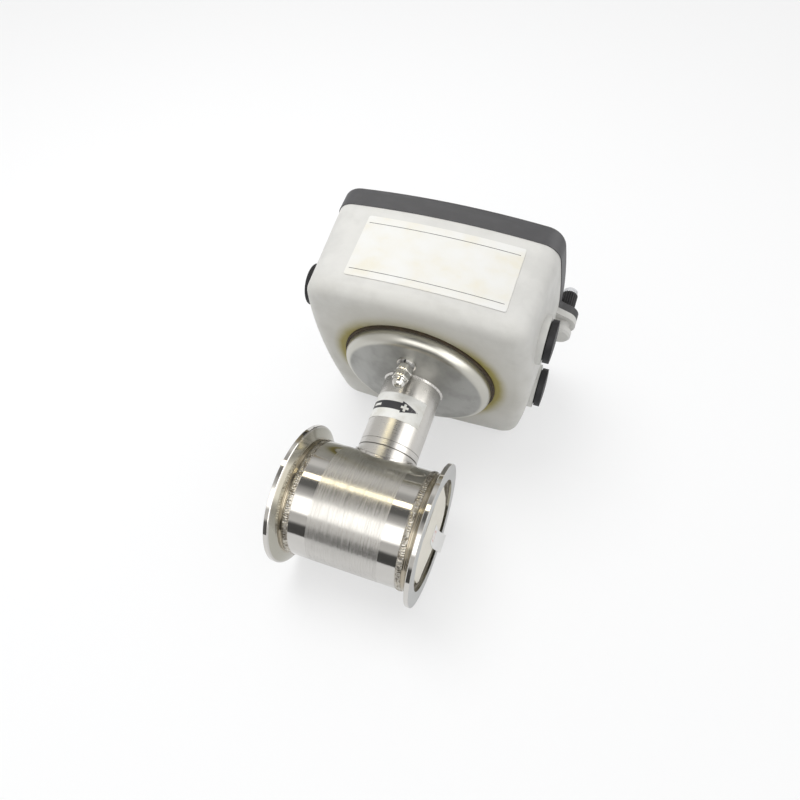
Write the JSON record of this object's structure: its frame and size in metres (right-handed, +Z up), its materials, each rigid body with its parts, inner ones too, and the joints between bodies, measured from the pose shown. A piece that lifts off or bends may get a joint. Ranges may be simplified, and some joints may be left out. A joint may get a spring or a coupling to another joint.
{
  "type": "electromagnetic flow meter",
  "caption": "Compact electromagnetic flow meter: clamp-flanged steel tube sensor with a ceramic bore, neck, round mounting plate and a moulded terminal box with a dark lid.",
  "frame": {"origin": "where the pipe axis meets the neck axis, at the middle of the measuring tube", "axes": "+X is the flow direction, +Z runs up the neck to the terminal box, -Y is the labelled side"},
  "size_m": [0.1862, 0.1492, 0.2439],
  "materials": {
    "body_steel": "stainless steel, brushed, with turned bands at the ends",
    "weld_steel": "rippled weld, heat tinted",
    "plate_steel": "satin stainless steel",
    "chrome": "bright nickel plate",
    "zinc_steel": "zinc plated",
    "core_steel": "plain steel",
    "copper_winding": "enamelled copper winding",
    "ceramic": "fired alumina",
    "electrode_metal": "polished",
    "box_plastic": "fine moulded texture",
    "lid_plastic": "fine moulded texture",
    "dark_plastic": "moulded",
    "plug_plastic": "moulded",
    "brown_rubber": "moulded, oxidised",
    "black_rubber": "moulded",
    "lead_insulation": "extruded",
    "label_film": "ivory film, slightly glossy",
    "sticker_film": "white film with a printed arrow",
    "white_card": "uncoated white",
    "board_laminate": "green solder mask",
    "block_plastic": "moulded",
    "module_plastic": "moulded"
  },
  "bodies": {
    "root": {"sensor_shell": "body_steel", "inlet_flange": "body_steel", "outlet_flange": "body_steel", "neck_socket": "body_steel", "neck_tube": "body_steel", "inlet_weld_bead": "weld_steel", "outlet_weld_bead": "weld_steel", "neck_weld": "weld_steel", "plate_weld": "weld_steel", "mounting_plate": "plate_steel", "earth_nut": "chrome", "earth_cap_nut": "chrome", "earth_stud": "zinc_steel", "earth_washer": "zinc_steel", "earth_spring_washer": "zinc_steel", "plate_screws": "zinc_steel", "board_screws": "zinc_steel", "left_closure_screw": "zinc_steel", "right_closure_screw": "zinc_steel", "return_yoke": "core_steel", "upper_pole_piece": "core_steel", "lower_pole_piece": "core_steel", "upper_coil": "copper_winding", "lower_coil": "copper_winding", "ceramic_tube": "ceramic", "front_electrode": "electrode_metal", "rear_electrode": "electrode_metal", "terminal_box": "box_plastic", "lid": "lid_plastic", "left_closure_knob": "dark_plastic", "right_closure_knob": "dark_plastic", "front_left_blanking_plug": "plug_plastic", "front_right_blanking_plug": "plug_plastic", "rear_left_blanking_plug": "plug_plastic", "rear_right_blanking_plug": "plug_plastic", "plate_gasket": "brown_rubber", "inlet_port_gasket": "brown_rubber", "outlet_port_gasket": "brown_rubber", "lid_gasket": "black_rubber", "lead_grommet": "black_rubber", "front_left_plug_seal": "black_rubber", "front_right_plug_seal": "black_rubber", "rear_left_plug_seal": "black_rubber", "rear_right_plug_seal": "black_rubber", "front_electrode_lead": "lead_insulation", "rear_electrode_lead": "lead_insulation", "upper_coil_lead": "lead_insulation", "lower_coil_lead": "lead_insulation", "rating_label": "label_film", "flow_arrow_label": "sticker_film", "port_card": "white_card", "paper_tab": "white_card", "connection_board": "board_laminate", "front_terminal_block": "block_plastic", "rear_terminal_block": "block_plastic", "memory_module": "module_plastic"}
  },
  "joints": []
}
